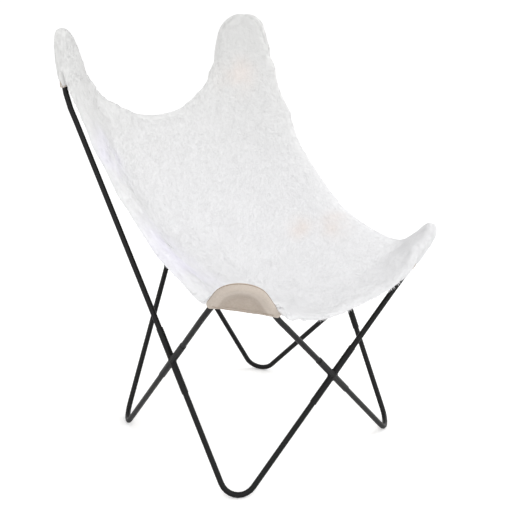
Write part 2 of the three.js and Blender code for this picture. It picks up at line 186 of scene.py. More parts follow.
# Cross sockets
# Two steel sleeves welded across each other where a pair of rods would cross, four in all. The
# rods plug into their ends. They wear the same powder coat, over the weld as well.
SLEEVE_CREASE = math.radians(32)

for cross in ("side_left", "side_right", "front", "rear"):
    sleeve = merged_copy(f"cross_socket_{cross}", f"welded_sleeves_{cross}")
    bpy.ops.object.shade_smooth_by_angle(angle=SLEEVE_CREASE)
    fit(sleeve, coat, "frame_coat", f"cross_socket_{cross}")

# Backing
# A cotton lining cut to the shape of the hide and sewn to its underside, so that the skin does
# not stretch. Only a thin line of it shows along the edges from the front.
BACKING_ROUNDS = 2
QUAD_FOLD = math.radians(40)
QUAD_SKEW = math.radians(60)
CANVAS_PALE = "c2bbb0"
CANVAS_DARK = "aaa297"
CANVAS_ROUGHNESS = 0.9
THREAD_SPACING = 0.0035513
THREAD_RISE = 0.00018
THREAD_WAVER = 1.5
WAVE_PHASE = 20


def rounded_copy(node, name, rounds):
    """A merged copy of a CAD sheet, with its flat cells rounded into one even curve."""
    piece = merged_copy(node, name)
    bpy.ops.object.mode_set(mode="EDIT")
    bpy.ops.mesh.select_all(action="SELECT")
    bpy.ops.mesh.tris_convert_to_quads(face_threshold=QUAD_FOLD, shape_threshold=QUAD_SKEW)
    bpy.ops.object.mode_set(mode="OBJECT")
    fine = piece.modifiers.new("fine", "SUBSURF")
    fine.levels = rounds
    fine.render_levels = rounds
    bpy.ops.object.modifier_apply(modifier="fine")
    bpy.ops.object.shade_smooth()
    return piece


# Cotton canvas: a flat, dry, grey beige weave. Its threads lie under a millimetre apart, and are
# drawn 3.6 mm apart so that they show. A wave texture turns through 20 radians to the unit.
canvas, shader, place = start_material("cotton_lining", CANVAS_ROUGHNESS)
warp, weft = (
    add_node(
        canvas, "ShaderNodeTexWave",
        {
            "Vector": place, "Scale": 2 * math.pi / WAVE_PHASE / THREAD_SPACING,
            "Distortion": THREAD_WAVER, "Detail": 1,
        },
        bands_direction=across,
    ).outputs["Fac"]
    for across in ("X", "Z")
)
weave = add_node(canvas, "ShaderNodeMath", {0: warp, 1: weft}, operation="MULTIPLY").outputs[0]
bump = add_node(canvas, "ShaderNodeBump", {"Height": weave, "Distance": THREAD_RISE, "Strength": 1})
link_shader(
    canvas, shader,
    Base_Color=tint(canvas, weave, CANVAS_DARK, CANVAS_PALE),
    Normal=bump.outputs["Normal"],
)

backing = rounded_copy("sling_backing", "backing", BACKING_ROUNDS)
fit(backing, canvas, "backing", "sling_backing")

# Corner pockets
# A half-moon of suede sewn under each horn, four in all, which takes the bend of the horn's rod.
# It is drawn tight round the bend, hollow between the legs, and bound and stitched at its mouth.
# Each left horn has its bend's centre, its own three directions, half the angle between its rod's
# legs, and how far the pocket runs down its outer and its inner leg.
HORNS = {
    "tall": {
        "centre": Vector((-0.24712, 0.29123, 0.84194)),
        "across": Vector((-0.74028, -0.66800, 0.07587)),
        "out": Vector((-0.08532, 0.20529, 0.97498)),
        "seat": Vector((0.66686, -0.71529, 0.20897)),
        "half": math.radians(14.937),
        "flanks": (0.078, 0.044),
    },
    "low": {
        "centre": Vector((-0.25240, -0.28223, 0.45259)),
        "across": Vector((-0.73511, 0.67730, 0.02981)),
        "out": Vector((-0.36725, -0.43479, 0.82225)),
        "seat": Vector((0.56987, 0.59349, 0.56835)),
        "half": math.radians(23.013),
        "flanks": (0.033, 0.056),
    },
}
BEND_RADIUS = 0.042
PATH_STEPS = 56
ROUND_STEPS = 12
PANEL_STEPS = 12
OVERRUN = 0.012

# The suede stands off the rod's middle line by its radius, and turns round the rod from towards
# the sitter to behind. One pocket, the left low one, lies over the hide's edge instead of under it.
POCKET_RADIUS = 0.0082
POCKET_FROM = math.radians(46)
OVERLAP_RADIUS = 0.0118
OVERLAP_FROM = math.radians(28)
POCKET_SKIN = 0.0013
POCKET_HOLLOW = 0.0055
HOLLOW_REACH = 0.024
MOUTH_SHARE = 0.3
CREASE_SIZE = (0.011, 0.004)
CREASE_RISE = 0.0006
CREASE_SEED = 3
POCKET_CREASE = math.radians(50)
SITTER_SIDE = 0.05

BINDING_WIDTH = 0.0065
BINDING_PROUD = 0.0006
BINDING_THICK = 0.0024
STITCH_LENGTH = 0.0034
STITCH_PITCH = 0.0052
STITCH_WIDTH = 0.0009
STITCH_FROM_MOUTH = 0.0048
STITCH_SIDES = 5
# The seam round the bend: a real seam, whose dark thread line also stands in for the shadow under the hide's
# lip, a painted shadow.
SEAM_SHADOW_RADIUS = 0.0008
SEAM_SHADOW_INSIDE = math.radians(16)
SEAM_SHADOW_SIDES = 8

SUEDE_PALE = "c2b7ac"
SUEDE_DARK = "988a7d"
SUEDE_ROUGHNESS = 0.9
SUEDE_SHEEN = 0.15
SUEDE_SPECULAR = 0.25
SUEDE_NAP = 0.004
NAP_RISE = 0.0005
NAP_STRENGTH = 0.7
SUEDE_RUB = 0.03
# How far the painted highlight on the suede reaches from the rod, and how much paler it paints it.
HIGHLIGHT_REACH = 0.009
HIGHLIGHT_PALER = 0.45
MOTTLE_PALER = 0.2
THREAD_PALE = "a2907f"
THREAD_DARK = "857361"
THREAD_ROUGHNESS = 0.6
THREAD_TWIST = 0.002


def from_horn(horn, p):
    """A place on the chair, from its metres across, out and towards the sitter on a horn."""
    return horn["centre"] + horn["across"] * p[0] + horn["out"] * p[1] + horn["seat"] * p[2]


def horn_path(horn, overrun):
    """The rod's middle line round a horn, with the way out from it, both across and out."""
    half = horn["half"]
    sweep = math.pi / 2 - half
    lengths = (horn["flanks"][0] + overrun, 2 * sweep * BEND_RADIUS, horn["flanks"][1] + overrun)
    path = []
    for step in range(PATH_STEPS + 1):
        run = sum(lengths) * step / PATH_STEPS
        angle = sweep - min(max(run - lengths[0], 0), lengths[1]) / BEND_RADIUS
        way = Vector((math.sin(angle), math.cos(angle)))
        spot = way * BEND_RADIUS
        if run < lengths[0]:
            spot += Vector((math.sin(half), -math.cos(half))) * (lengths[0] - run)
        elif run > lengths[0] + lengths[1]:
            spot += Vector((-math.sin(half), -math.cos(half))) * (run - lengths[0] - lengths[1])
        path.append((spot, way))
    return path


def mouth_line(horn):
    """A pocket's mouth: its two ends, the way from one to the other, and the way into the pocket."""
    path = horn_path(horn, 0)
    ends = path[0][0], path[-1][0]
    along = (ends[1] - ends[0]).normalized()
    inward = Vector((-along.y, along.x))
    if inward.y < 0:
        inward.negate()
    return ends, along, inward


def round_rod(horn, spot, way, reach, turn):
    """A place that stands off the rod, turned from straight outwards to the sitter or behind."""
    at = spot + way * (reach * math.cos(turn))
    return from_horn(horn, (at.x, at.y, reach * math.sin(turn)))


def open_sheet(name, columns):
    """A sheet woven through rows of points, one row after another."""
    rows = len(columns[0])
    points = [p for column in columns for p in column]
    faces = [
        (c * rows + r, c * rows + r + 1, (c + 1) * rows + r + 1, (c + 1) * rows + r)
        for c in range(len(columns) - 1) for r in range(rows - 1)
    ]
    mesh = bpy.data.meshes.new(name)
    mesh.from_pydata(points, [], faces)
    piece = bpy.data.objects.new(name, mesh)
    bpy.context.collection.objects.link(piece)
    bpy.ops.object.select_all(action="DESELECT")
    piece.select_set(True)
    bpy.context.view_layer.objects.active = piece
    return piece


def pocket_mesh(name, horn, low, high, radius, turn_from):
    """The pocket's outer skin between two distances from its mouth, as an open sheet."""
    (mouth, _), _, inward = mouth_line(horn)
    path = horn_path(horn, OVERRUN)
    columns = []
    # Each point's share of the painted highlight: all of it round the rod, fading out across the panel.
    painted_highlight = []
    for spot, way in path:
        column = []
        for step in range(ROUND_STEPS + 1):
            turn = turn_from - (turn_from + math.pi / 2) * step / ROUND_STEPS
            over = (radius - POCKET_RADIUS) * smooth_step(turn, -math.pi / 2, -math.pi / 4)
            column.append(round_rod(horn, spot, way, POCKET_RADIUS + over, turn))
            painted_highlight.append(1)
        depth = (spot - mouth).dot(inward)
        for step in range(1, PANEL_STEPS + 1):
            at = spot - inward * (depth + OVERRUN) * (step / PANEL_STEPS)
            near = min((at - other).length for other, _ in path)
            share = min(near / HOLLOW_REACH, 1)
            slack = min(max((at - mouth).dot(inward) / HOLLOW_REACH, 0), 1)
            hollow = POCKET_HOLLOW * smooth_step(near, 0, HOLLOW_REACH)
            hollow *= MOUTH_SHARE + (1 - MOUTH_SHARE) * slack
            wrinkle = noise.noise(Vector((at.x / CREASE_SIZE[0], at.y / CREASE_SIZE[1], CREASE_SEED)))
            crease = wrinkle * CREASE_RISE * share
            column.append(from_horn(horn, (at.x, at.y, hollow + crease - POCKET_RADIUS)))
            painted_highlight.append(1 - smooth_step(near, HIGHLIGHT_REACH / 3, HIGHLIGHT_REACH))
        columns.append(column)
    piece = open_sheet(name, columns)
    piece.data.attributes.new("painted_highlight", "FLOAT", "POINT").data.foreach_set("value", painted_highlight)
    lift = horn["across"] * inward.x + horn["out"] * inward.y
    edge = from_horn(horn, (mouth.x, mouth.y, 0))
    bpy.ops.object.mode_set(mode="EDIT")
    for distance, above in ((low, False), (high, True)):
        bpy.ops.mesh.select_all(action="SELECT")
        bpy.ops.mesh.bisect(
            plane_co=edge + lift * distance, plane_no=lift, clear_inner=not above, clear_outer=above
        )
    bpy.ops.mesh.select_all(action="SELECT")
    bpy.ops.mesh.remove_doubles(threshold=BAR_MERGE)
    bpy.ops.mesh.dissolve_degenerate()
    bpy.ops.object.mode_set(mode="OBJECT")
    return piece


def mirrored(piece, side):
    """Turns a left-hand mesh into the right-hand one, with its faces still outwards."""
    if side == "right":
        for vertex in piece.data.vertices:
            vertex.co.x = -vertex.co.x
        piece.data.flip_normals()


def thickened(piece, horn, thickness, proud):
    """Faces an open skin outwards and gives it its thickness, from a little proud to inside."""
    middle = sum((v.co for v in piece.data.vertices), Vector()) / len(piece.data.vertices)
    facing = sum((f.normal * f.area for f in piece.data.polygons), Vector())
    if facing.dot(middle - from_horn(horn, (0, 0, SITTER_SIDE))) < 0:
        piece.data.flip_normals()
    wall = piece.modifiers.new("wall", "SOLIDIFY")
    wall.thickness = thickness
    wall.offset = -1 + 2 * proud / thickness
    bpy.context.view_layer.objects.active = piece
    bpy.ops.object.modifier_apply(modifier="wall")
    bpy.ops.object.shade_smooth_by_angle(angle=POCKET_CREASE)


def bead_along(name, points, radius, sides):
    """A closed round bead or thread that follows a row of points."""
    verts = []
    faces = []
    for k, spot in enumerate(points):
        way = (points[min(k + 1, len(points) - 1)] - points[max(k - 1, 0)]).normalized()
        first = way.orthogonal().normalized()
        if verts:
            last = verts[-sides] - points[k - 1]
            first = (last - way * last.dot(way)).normalized()
        second = way.cross(first)
        for n in range(sides):
            turn = 2 * math.pi * n / sides
            verts.append(spot + first * (radius * math.cos(turn)) + second * (radius * math.sin(turn)))
    for k in range(len(points) - 1):
        for n in range(sides):
            a, b = k * sides + n, k * sides + (n + 1) % sides
            faces.append((a, b, b + sides, a + sides))
    faces.append(tuple(reversed(range(sides))))
    faces.append(tuple(range(len(verts) - sides, len(verts))))
    mesh = bpy.data.meshes.new(name)
    mesh.from_pydata(verts, [], faces)
    piece = bpy.data.objects.new(name, mesh)
    bpy.context.collection.objects.link(piece)
    mesh.shade_smooth()
    return piece


def seam_and_shadow_course(horn, radius, turn):
    """Where the sewn join runs: round the outer side of the bend, just inside the suede's edge. Its dark
    thread also stands in for the shadow line under the hide's lip, as a painted shadow.
    """
    return [round_rod(horn, spot, way, radius, turn) for spot, way in horn_path(horn, 0)]


def stitch_row(name, binding, horn):
    """Short stitches along the binding, each a little bead that lies on the suede."""
    ends, along, inward = mouth_line(horn)
    beads = []
    run = STITCH_PITCH
    while run < (ends[1] - ends[0]).length - STITCH_PITCH:
        points = []
        for at in (run, run + STITCH_LENGTH / 2, run + STITCH_LENGTH):
            flat = ends[0] + along * at + inward * STITCH_FROM_MOUTH
            behind = from_horn(horn, (flat.x, flat.y, -SITTER_SIDE))
            points.append(binding.closest_point_on_mesh(behind)[1])
        beads.append(bead_along(name, points, STITCH_WIDTH / 2, STITCH_SIDES))
        run += STITCH_PITCH
    bpy.ops.object.select_all(action="DESELECT")
    for bead in beads:
        bead.select_set(True)
    bpy.context.view_layer.objects.active = beads[0]
    bpy.ops.object.join()
    beads[0].name = name
    return beads[0]


# Suede: split leather with a short nap, grey beige and mottled, with a painted highlight that makes it paler
# over the bulge of the rod round the bend.
suede, shader, place = start_material(
    "suede", SUEDE_ROUGHNESS, Sheen_Weight=SUEDE_SHEEN, Specular_IOR_Level=SUEDE_SPECULAR
)
nap = add_node(suede, "ShaderNodeTexNoise", {"Vector": place, "Scale": 1 / SUEDE_NAP, "Detail": 5})
rub = add_node(suede, "ShaderNodeTexNoise", {"Vector": place, "Scale": 1 / SUEDE_RUB, "Detail": 3})
mottle = add_node(
    suede, "ShaderNodeMath", {0: nap.outputs["Fac"], 1: rub.outputs["Fac"], 2: MOTTLE_PALER},
    operation="MULTIPLY_ADD",
).outputs[0]
# Painted highlight: paler over the rod's bulge, from the share that pocket_mesh gives each point.
highlight_share = add_node(suede, "ShaderNodeAttribute", {}, attribute_name="painted_highlight").outputs["Fac"]
pale = add_node(
    suede, "ShaderNodeMath", {0: highlight_share, 1: HIGHLIGHT_PALER, 2: mottle}, operation="MULTIPLY_ADD", use_clamp=True
).outputs[0]
bump = add_node(
    suede, "ShaderNodeBump",
    {"Height": nap.outputs["Fac"], "Distance": NAP_RISE, "Strength": NAP_STRENGTH},
)
link_shader(
    suede, shader,
    Base_Color=tint(suede, pale, SUEDE_DARK, SUEDE_PALE),
    Normal=bump.outputs["Normal"],
)

# Waxed thread: grey brown, darker than the suede that it draws in. On the seam round each bend, that dark
# line also paints the shadow under the hide's lip.
thread, shader, place = start_material("waxed_thread", THREAD_ROUGHNESS)
twist = add_node(thread, "ShaderNodeTexNoise", {"Vector": place, "Scale": 1 / THREAD_TWIST, "Detail": 2})
link_shader(thread, shader, Base_Color=tint(thread, twist.outputs["Fac"], THREAD_DARK, THREAD_PALE))

for horn_name, horn in HORNS.items():
    for side in ("left", "right"):
        node = f"pocket_{horn_name}_{side}"
        radius, turn = POCKET_RADIUS, POCKET_FROM
        if node == "pocket_low_left":
            radius, turn = OVERLAP_RADIUS, OVERLAP_FROM
        skin = pocket_mesh(f"suede_{node}", horn, 0, 1, radius, turn)
        thickened(skin, horn, POCKET_SKIN, 0)
        binding = pocket_mesh(f"binding_{node}", horn, 0, BINDING_WIDTH, radius, turn)
        thickened(binding, horn, BINDING_THICK, BINDING_PROUD)
        # The seam's dark thread line is partly a real seam and partly a painted shadow under the hide's lip.
        line = seam_and_shadow_course(horn, radius, turn - SEAM_SHADOW_INSIDE)
        seam_shadow_bead = bead_along(f"seam_{node}", line, SEAM_SHADOW_RADIUS, SEAM_SHADOW_SIDES)
        stitches = stitch_row(f"stitches_{node}", binding, horn)
        for piece, material in ((skin, suede), (binding, suede), (seam_shadow_bead, thread), (stitches, thread)):
            mirrored(piece, side)
            settle(piece)
            fit(piece, material, "pocket")
        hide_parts(node)

# Hide
# One white hide, tanned with its short dense pile on and cut with a horn at each corner. It hangs
# pile side up. Its edges turn down over the lining, and over three of the pockets as sewn hems.
HIDE_ROUNDS = 3
SITTER = Vector((0, -0.45, 1.0))
EDGE_SHARPNESS = 4
RIM_SHARES = (0.3, 0.7)

# Where the sling hangs lower or further out than it was cut. A pair or a row of four says from
# where to where a change comes in, and then goes out again, in metres up, aside, back or inwards.
BEHIND = (0.0, 0.08)
SCOOP_MOVE = Vector((0, -0.0027, -0.0091))
SCOOP_HALF = 0.21
SCOOP_FADE = 0.07
SCOOP_UP = (0.60, 0.69)
TALL_INNER_IN = 0.003
TALL_INNER_ASIDE = (0.10, 0.14, 0.17, 0.22)
TALL_INNER_UP = (0.66, 0.74)
TALL_INNER_FADE = 0.05
SIDE_ASIDE = (0.12, 0.20)
SIDE_FADE = 0.08
SADDLE_DROP = 0.0065
SADDLE_UP = (0.43, 0.50, 0.56, 0.66)
BESIDE_ROD_OUT = 0.0075
BESIDE_ROD_UP = (0.62, 0.68, 0.78, 0.82)
FRONT_FALL = {"left": 0.007, "right": 0.001}
FRONT_AHEAD = (0.20, 0.25)
FRONT_ASIDE = (0.09, 0.17, 0.30, 0.34)
FRONT_LEG = (0.015, 0.045)
FRONT_FADE = 0.035
BACKING_CUT = Vector((0, 0.010, 0.004))
BACKING_CUT_AHEAD = (0.27, 0.312)
BACKING_CUT_ASIDE = (0.11, 0.16, 0.205, 0.235)

# How much further the hide's own edge falls over each leg of a horn, and where that comes in.
TALL_FALL = 0.006
TALL_FALL_FROM = (-0.10, -0.03)
INNER_FALL = {"left": 0.005, "right": 0.003}
INNER_FALL_FROM = (0.005, 0.035)
OUTER_FALL = 0.006
OUTER_FALL_FROM = (0.0, 0.03)
LOW_ARC_FROM = (-0.02, 0.01)
LOW_FALL_ASIDE = (0.10, 0.17)

# The soft body of the hide, and the round of its edge.
SWELL = 0.0018
GROOVE_FILL = 0.0012
GROOVE = (0.006, 0.014, 0.018, 0.036)
LUMP_SIZE = 0.011
LUMP_RISE = 0.0004
WAVE_SIZE = 0.09
WAVE_RISE = 0.0012
WAVE_SEED = Vector((7, 3, 5))
EDGE_BAND = 0.016
EDGE_THIN = 0.6
RELAX_FROM = (0.005, 0.02)
RELAX_ROUNDS = 40
RELAX_SHARE = 0.5
TUCK_RADIUS = 0.0094
TUCK_TURN = (0.25, 0.6)
TUCK_REACH = 0.02
TUCK_LOWEST = -0.045

# A hem turns round the rod from towards the sitter to behind it. It is drawn in at both ends, and
# the one on the tall right horn stands loose of its pocket along the outer leg.
HEM_RADIUS = 0.0112
HEM_THICK = 0.002
HEM_FROM = math.radians(60)
HEM_TO = math.radians(-62)
HEM_CORNER = 0.1
HEM_TAPER = 0.022
HEM_RAG = 0.006
HEM_RAG_SIZE = 0.004
HEM_RAG_SEED = 9
HEM_SINK = 0.0015
HEM_SINK_REACH = 0.03
HEM_LOOSE = 0.0075
HEM_LOOSE_REACH = 0.03
HEM_LUMP = 0.0007
HEM_LUMP_SIZE = 0.008
HEM_LUMP_TURN = 0.012

PILE_WHITE = "eeeeef"
PILE_SHADE = "e5e5e6"
# Painted shade towards the top: its grey, and the heights over which it comes in.
PILE_TOP_SHADE = "dededd"
TOP_SHADE_FROM = (0.42, 0.86)
PILE_WARM = "ebe2dd"
PILE_COOL = "eae8f2"
PILE_ROUGHNESS = 0.95
PILE_SHEEN = 0.2
PILE_SHEEN_ROUGHNESS = 0.6
PILE_SPECULAR = 0.15
PILE_CLUMP = 0.004
CLUMP_RISE = 0.0012
CLUMP_STRENGTH = 0.6
STAIN_SIZE = 0.07
STAIN_RANGE = (0.30, 0.66)
WARM_SPOTS = (
    ((0.204, 0.27, 0.750), 0.075),
    ((0.165, 0.0, 0.44), 0.05),
    ((0.212, -0.07, 0.45), 0.06),
)
COOL_SPOTS = (
    ((-0.23, 0.16, 0.64), 0.11),
    ((-0.22, -0.03, 0.46), 0.17),
)


def spot_mask(material, place, spots):
    """1 at the middle of each spot, fading to 0 at its reach."""
    total = 0.0
    for middle, reach in spots:
        away = add_node(
            material, "ShaderNodeVectorMath", {0: place, 1: middle}, operation="DISTANCE"
        ).outputs["Value"]
        near = add_node(
            material, "ShaderNodeMapRange", {"Value": away, "From Max": reach, "To Min": 1, "To Max": 0},
            interpolation_type="SMOOTHSTEP",
        ).outputs["Result"]
        total = add_node(material, "ShaderNodeMath", {0: total, 1: near}, operation="ADD").outputs[0]
    return total


# Hair-on hide: dense matt white hair, with painted shade that greys it with height, most at the tips of the
# tall horns. It is faintly creamy in places, where the animal's own colour comes through, and faintly cool
# in two patches on the left side.
pile, shader, place = start_material(
    "hair_on_hide", PILE_ROUGHNESS,
    Sheen_Weight=PILE_SHEEN, Sheen_Roughness=PILE_SHEEN_ROUGHNESS, Specular_IOR_Level=PILE_SPECULAR,
)
clumps = add_node(pile, "ShaderNodeTexNoise", {"Vector": place, "Scale": 1 / PILE_CLUMP, "Detail": 4})
stains = add_node(pile, "ShaderNodeTexNoise", {"Vector": place, "Scale": 1 / STAIN_SIZE, "Detail": 3})
patchy = add_node(
    pile, "ShaderNodeMapRange",
    {"Value": stains.outputs["Fac"], "From Min": STAIN_RANGE[0], "From Max": STAIN_RANGE[1]},
).outputs["Result"]
tone = tint(pile, clumps.outputs["Fac"], PILE_SHADE, PILE_WHITE)
# Painted shade: the pile greys by height, from the seat up to the tips of the tall horns.
height = add_node(pile, "ShaderNodeSeparateXYZ", {0: place}).outputs["Z"]
top_shade = add_node(
    pile, "ShaderNodeMapRange", {"Value": height, "From Min": TOP_SHADE_FROM[0], "From Max": TOP_SHADE_FROM[1]},
    interpolation_type="SMOOTHSTEP",
).outputs["Result"]
tone = tint(pile, top_shade, tone, PILE_TOP_SHADE)
for spots, code in ((COOL_SPOTS, PILE_COOL), (WARM_SPOTS, PILE_WARM)):
    share = add_node(
        pile, "ShaderNodeMath", {0: spot_mask(pile, place, spots), 1: patchy}, operation="MULTIPLY"
    ).outputs[0]
    tone = tint(pile, share, tone, code)
bump = add_node(
    pile, "ShaderNodeBump",
    {"Height": clumps.outputs["Fac"], "Distance": CLUMP_RISE, "Strength": CLUMP_STRENGTH},
)
link_shader(pile, shader, Base_Color=tone, Normal=bump.outputs["Normal"])


def seat_share(place, normal):
    """1 where the surface faces the sitter, 0 where it faces away, and between on the edge."""
    facing = (SITTER - place).normalized().dot(normal)
    return min(max(facing * EDGE_SHARPNESS + 0.5, 0), 1)


def to_horn(horn, place):
    """A place as seen from the horn on its own side: metres across, out and to the sitter."""
    away = Vector((-abs(place.x), place.y, place.z)) - horn["centre"]
    return Vector((away.dot(horn["across"]), away.dot(horn["out"]), away.dot(horn["seat"])))


def swell_share(value, rise_from, rise_to, fall_from, fall_to):
    """0 up to the first value, 1 from the second to the third, and 0 again from the fourth."""
    return smooth_step(value, rise_from, rise_to) * (1 - smooth_step(value, fall_from, fall_to))


def hang(place, from_edge):
    """How far the sling hangs from where it was cut, the hide and its lining alike."""
    side = "right" if place.x > 0 else "left"
    out = math.copysign(1, place.x)
    wide = abs(place.x)
    behind = smooth_step(place.y, *BEHIND)
    scoop = smooth_step(SCOOP_HALF - wide, 0, SCOOP_FADE) * smooth_step(place.z, *SCOOP_UP) * behind
    move = SCOOP_MOVE * scoop
    tall_inner = swell_share(wide, *TALL_INNER_ASIDE) * smooth_step(place.z, *TALL_INNER_UP) * behind
    tall_inner *= 1 - smooth_step(from_edge, 0, TALL_INNER_FADE)
    move += Vector((-TALL_INNER_IN * out, TALL_INNER_IN, 0)) * -tall_inner
    at_side = smooth_step(wide, *SIDE_ASIDE) * (1 - smooth_step(from_edge, 0, SIDE_FADE))
    move.z -= SADDLE_DROP * (swell_share(place.z, *SADDLE_UP) * at_side)
    move.x += BESIDE_ROD_OUT * out * (swell_share(place.z, *BESIDE_ROD_UP) * at_side)
    low = to_horn(HORNS["low"], place)
    front = smooth_step(-place.y, *FRONT_AHEAD) * swell_share(wide, *FRONT_ASIDE)
    front_leg = front * smooth_step(-low.x, *FRONT_LEG) * (1 - smooth_step(from_edge, 0, FRONT_FADE))
    move += (place - SITTER).normalized() * (FRONT_FALL[side] * front_leg)
    return move


def edge_fall(place):
    """How much further the hide's own edge hangs over the lining and the pockets."""
    tall = to_horn(HORNS["tall"], place)
    low = to_horn(HORNS["low"], place)
    on_tall = smooth_step(tall.y, *TALL_FALL_FROM)
    on_low = smooth_step(-place.y, *FRONT_AHEAD) * smooth_step(abs(place.x), *LOW_FALL_ASIDE)
    inner_leg = on_low * smooth_step(-low.x, *INNER_FALL_FROM)
    outer_leg = on_low * smooth_step(low.x, *OUTER_FALL_FROM)
    if place.x < 0:
        arc = on_low * smooth_step(low.y, *LOW_ARC_FROM)
        return TALL_FALL * on_tall + INNER_FALL["left"] * inner_leg * (1 - arc)
    return TALL_FALL * on_tall + INNER_FALL["right"] * inner_leg + OUTER_FALL * outer_leg


def tucked(place, path):
    """How far a place on the hide lies outside the one pocket that is sewn over its edge."""
    horn = HORNS["low"]
    flat = to_horn(horn, place)
    if place.x > 0 or flat.y < TUCK_LOWEST:
        return None
    level = flat.to_2d()
    spot, way = min(path, key=lambda step: (step[0] - level).length)
    away = Vector((*(level - spot), flat.z))
    turn = math.atan2(flat.z, (level - spot).dot(way))
    share = 1 - smooth_step(turn, *TUCK_TURN)
    if share == 0 or away.length > TUCK_REACH:
        return None
    inside = away * (1 - min(TUCK_RADIUS / away.length, 1)) * share
    return horn["across"] * inside.x + horn["out"] * inside.y + horn["seat"] * inside.z


def hem(name, horn, loose):
    """The hide's edge, turned round the horn's rod and sewn down over the pocket."""
    columns = []
    path = horn_path(horn, 0)
    for spot, way in path:
        from_end = min((spot - path[end][0]).length for end in (0, -1))
        ragged = from_end + HEM_RAG * noise.noise(Vector((0, spot.y / HEM_RAG_SIZE, HEM_RAG_SEED)))
        turned = HEM_TO * (HEM_CORNER + (1 - HEM_CORNER) * smooth_step(ragged, 0, HEM_TAPER))
        fold = smooth_step(spot.x, 0, HEM_LOOSE_REACH) * smooth_step(from_end, 0, HEM_LOOSE_REACH)
        sunk = HEM_SINK * (1 - smooth_step(from_end, 0, HEM_SINK_REACH))
        column = []
        for step in range(ROUND_STEPS + 1):
            turn = HEM_FROM + (turned - HEM_FROM) * step / ROUND_STEPS
            lump = noise.noise(Vector((spot.x, spot.y, turn * HEM_LUMP_TURN)) / HEM_LUMP_SIZE)
            reach = HEM_RADIUS - sunk
            reach += HEM_LUMP * lump
            reach += loose * fold * math.sin(math.pi * step / ROUND_STEPS)
            column.append(round_rod(horn, spot, way, reach, turn))
        columns.append(column)
    piece = open_sheet(name, columns)
    thickened(piece, horn, HEM_THICK, 0)
    return piece


hide = rounded_copy("sling_hide", "hide", HIDE_ROUNDS)
hide_mesh = hide.data
shares = [seat_share(v.co, v.normal) for v in hide_mesh.vertices]
rim_points = [
    v.index for v, share in zip(hide_mesh.vertices, shares) if RIM_SHARES[0] < share < RIM_SHARES[1]
]
rim_tree = kdtree.KDTree(len(rim_points))
for index in rim_points:
    rim_tree.insert(hide_mesh.vertices[index].co, index)
rim_tree.balance()

# The hide is hung first, and its face evened out while its edges and its underside stay.
face = hide.vertex_groups.new(name="face")
rims = []
for vertex, share in zip(hide_mesh.vertices, shares):
    place = vertex.co
    rim = rim_tree.find(place)[2]
    rims.append(rim)
    fall = edge_fall(place) * (1 - smooth_step(rim, 0, EDGE_BAND))
    vertex.co = place + hang(place, rim) + (place - SITTER).normalized() * fall
    if share == 1:
        face.add([vertex.index], smooth_step(rim, *RELAX_FROM), "REPLACE")
relax = hide.modifiers.new("relax", "SMOOTH")
relax.factor = RELAX_SHARE
relax.iterations = RELAX_ROUNDS
relax.vertex_group = "face"
bpy.context.view_layer.objects.active = hide
bpy.ops.object.modifier_apply(modifier="relax")
hide_mesh.update()

# Then the face swells a little, unevenly, and its edge goes under the one pocket that lies over it.
swells = []
for vertex, share, rim in zip(hide_mesh.vertices, shares, rims):
    place = vertex.co
    lump = noise.noise(place / LUMP_SIZE) * LUMP_RISE
    wave = noise.noise(place / WAVE_SIZE + WAVE_SEED) * WAVE_RISE
    swell = (SWELL + lump + wave) * (1 - EDGE_THIN * (1 - smooth_step(rim, 0, EDGE_BAND)))
    swell += GROOVE_FILL * swell_share(rim, *GROOVE)
    swells.append(vertex.normal * (swell * share))
for vertex, swell in zip(hide_mesh.vertices, swells):
    vertex.co += swell
low_path = horn_path(HORNS["low"], 0)
for vertex in hide_mesh.vertices:
    inside = tucked(vertex.co, low_path)
    if inside:
        vertex.co -= inside
settle(hide)
fit(hide, pile, "hide", "sling_hide")

# The lining hangs as the hide does, and is cut back beside the low horns' inner legs.
for vertex in backing.data.vertices:
    place = vertex.co
    by_leg = smooth_step(-place.y, *BACKING_CUT_AHEAD) * swell_share(abs(place.x), *BACKING_CUT_ASIDE)
    vertex.co = place + hang(place, rim_tree.find(place)[2]) + BACKING_CUT * by_leg
settle(backing)

hems = []
for horn_name, side, loose in (("tall", "left", 0), ("tall", "right", HEM_LOOSE), ("low", "right", 0)):
    turned_edge = hem(f"hide_hem_{horn_name}_{side}", HORNS[horn_name], loose)
    mirrored(turned_edge, side)
    settle(turned_edge)
    fit(turned_edge, pile, "hide")
    hems.append(turned_edge)

# Loose pile
# The hide's own hair, as short tapered locks that each stand for a tuft. They lie down the back
# and forward over the seat, and are shorter round the edges, where they stand out a little more.
LOCKS_PER_METRE = 200000
LOCK_SEED = 11
LOCK_LENGTH = 0.0075
EDGE_LOCK_LENGTH = 0.0045
LENGTH_RANGE = (0.7, 1.2)
LOCK_WIDTH = 0.0006
WIDTH_RANGE = (0.7, 1.3)
LOCK_RIDGE = 0.35
LOCK_ROOT = 0.0002
LOCK_SHEETS = 3

# Where hair grows: by how squarely a face meets the sitter, and not under the left low pocket.
GROW_SLOPE = 5
HIDE_GROWS = 1.6
HEM_GROWS = 4
POCKET_CORNER = (-0.2, -0.24, 0.42)
EDGE_SLOPE = 2.2

# The way it lies: outwards from the middle, forwards and down, with swirls and a little disorder.
LIE_ASIDE = 1.2
LIE_BACK = -0.45
LIE_UP = -0.8
LIE_SPREAD = 0.16
LOCK_LIE = 6.5
EDGE_LIFT = 2.5
EDGE_DROOP = 0.8
LOCK_SWIRL = 0.05
SWIRL_SHARE = 0.9
SWIRL_APART = 9.0
LOCK_SHINE = 0.06
SHINE_FORWARD = 0.05
NEXT_TO_NOTHING = 1e-12

